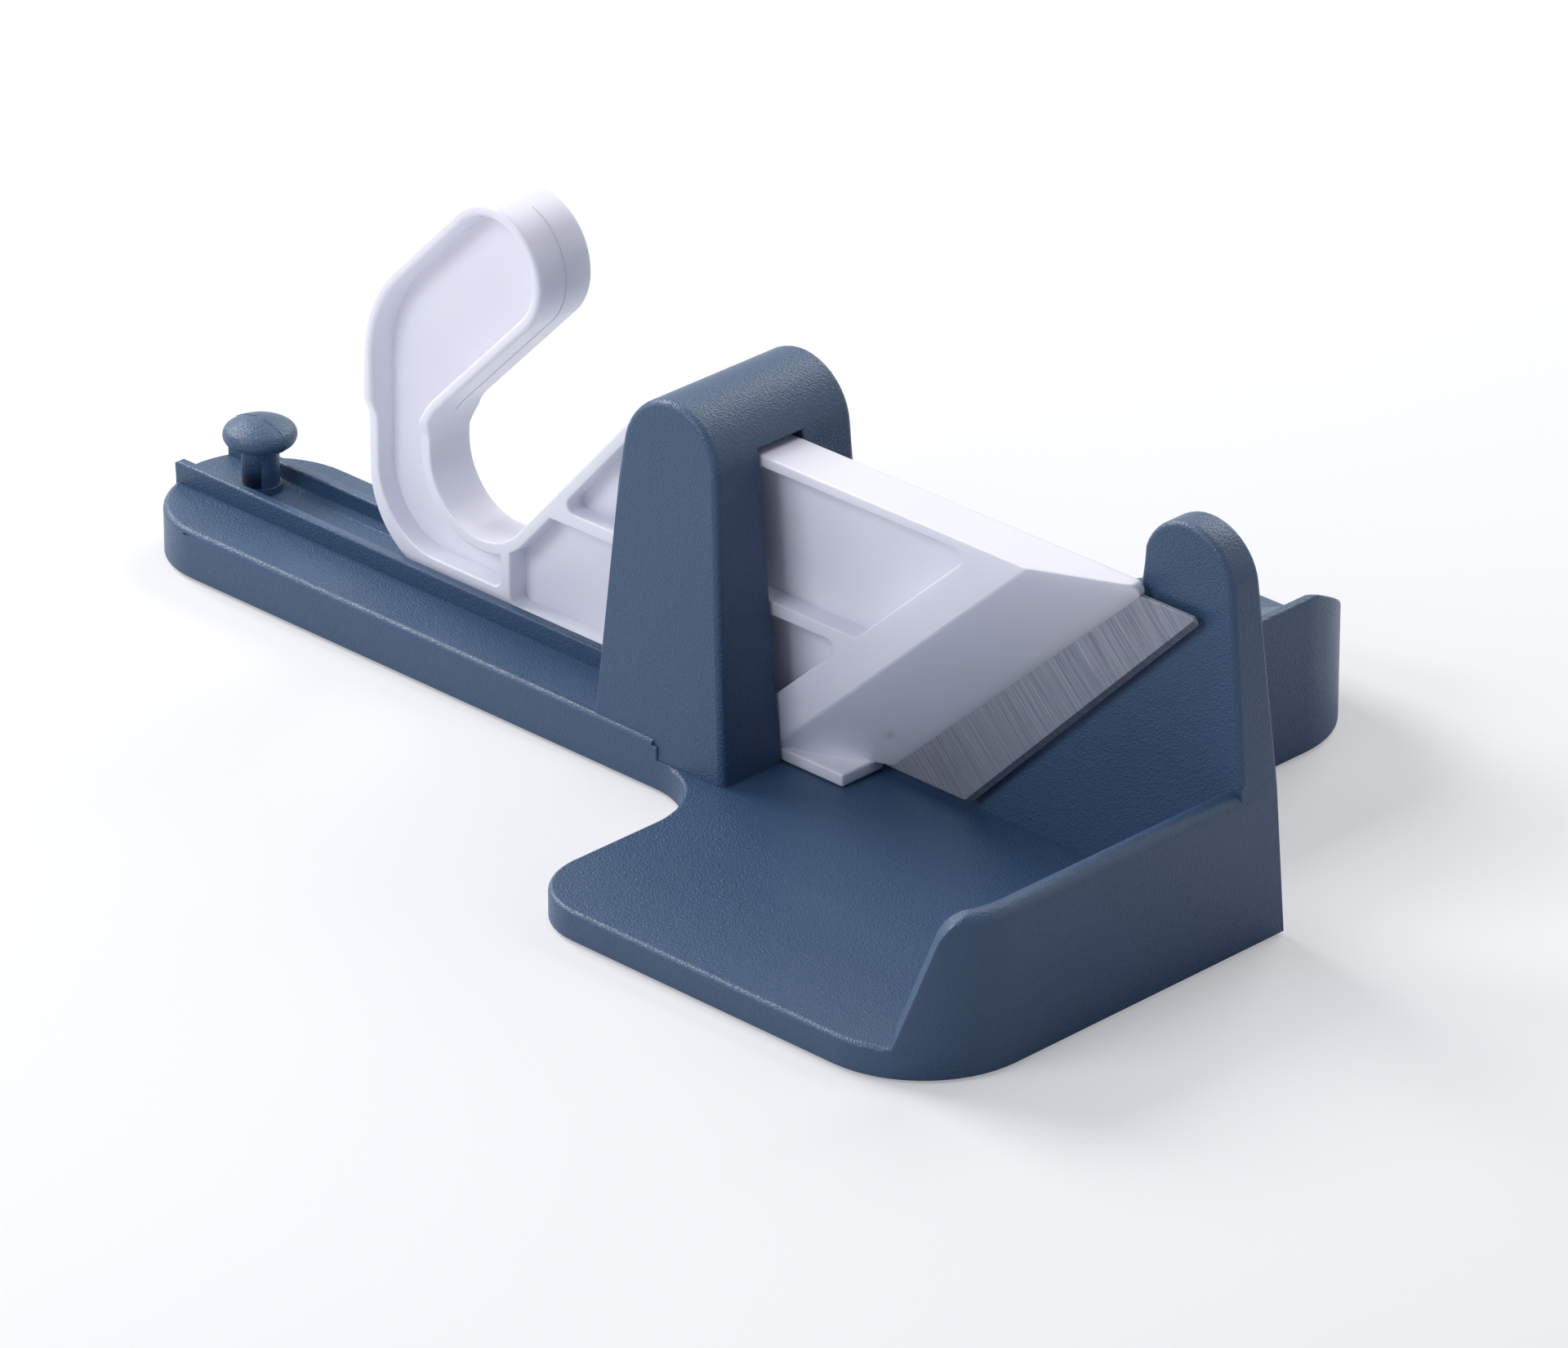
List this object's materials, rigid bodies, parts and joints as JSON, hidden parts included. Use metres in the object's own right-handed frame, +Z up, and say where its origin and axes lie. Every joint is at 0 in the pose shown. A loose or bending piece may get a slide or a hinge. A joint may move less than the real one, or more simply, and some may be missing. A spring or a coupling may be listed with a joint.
{
  "type": "sausage guillotine slicer",
  "caption": "Table-top sausage guillotine: a white blade carriage with hook handle slides through a tower on a dark base with trays and fences.",
  "frame": {"origin": "on the table, under the middle of the base's bounding box", "axes": "+X the way the blade pushes, +Y away from the near side, +Z up"},
  "size_m": [0.382, 0.246, 0.1367],
  "materials": {
    "base_plastic": "fine leather-like moulded texture",
    "slider_plastic": "smooth satin gloss",
    "blade_steel": "ground, lines across the edge",
    "screw_steel": "plain",
    "pin_plastic": "smooth matt",
    "foot_rubber": "matt"
  },
  "bodies": {
    "base": {"base": "base_plastic", "rubber_foot_left": "foot_rubber", "rubber_foot_front": "foot_rubber", "rubber_foot_right": "foot_rubber", "rubber_foot_back": "foot_rubber"},
    "slider": {"slider": "slider_plastic", "blade": "blade_steel", "blade_screw_low": "screw_steel", "blade_screw_mid": "screw_steel", "blade_screw_high": "screw_steel"},
    "stop_pin": {"stop_pin": "pin_plastic"}
  },
  "joints": [
    {"name": "slider_slide", "type": "slide", "parent": "base", "child": "slider", "axis": [1, 0, 0], "range_m": [-0.0415, 0]},
    {"name": "pin_lift", "type": "slide", "parent": "base", "child": "stop_pin", "axis": [0, 0, 1], "range_m": [0, 0.0115]}
  ]
}
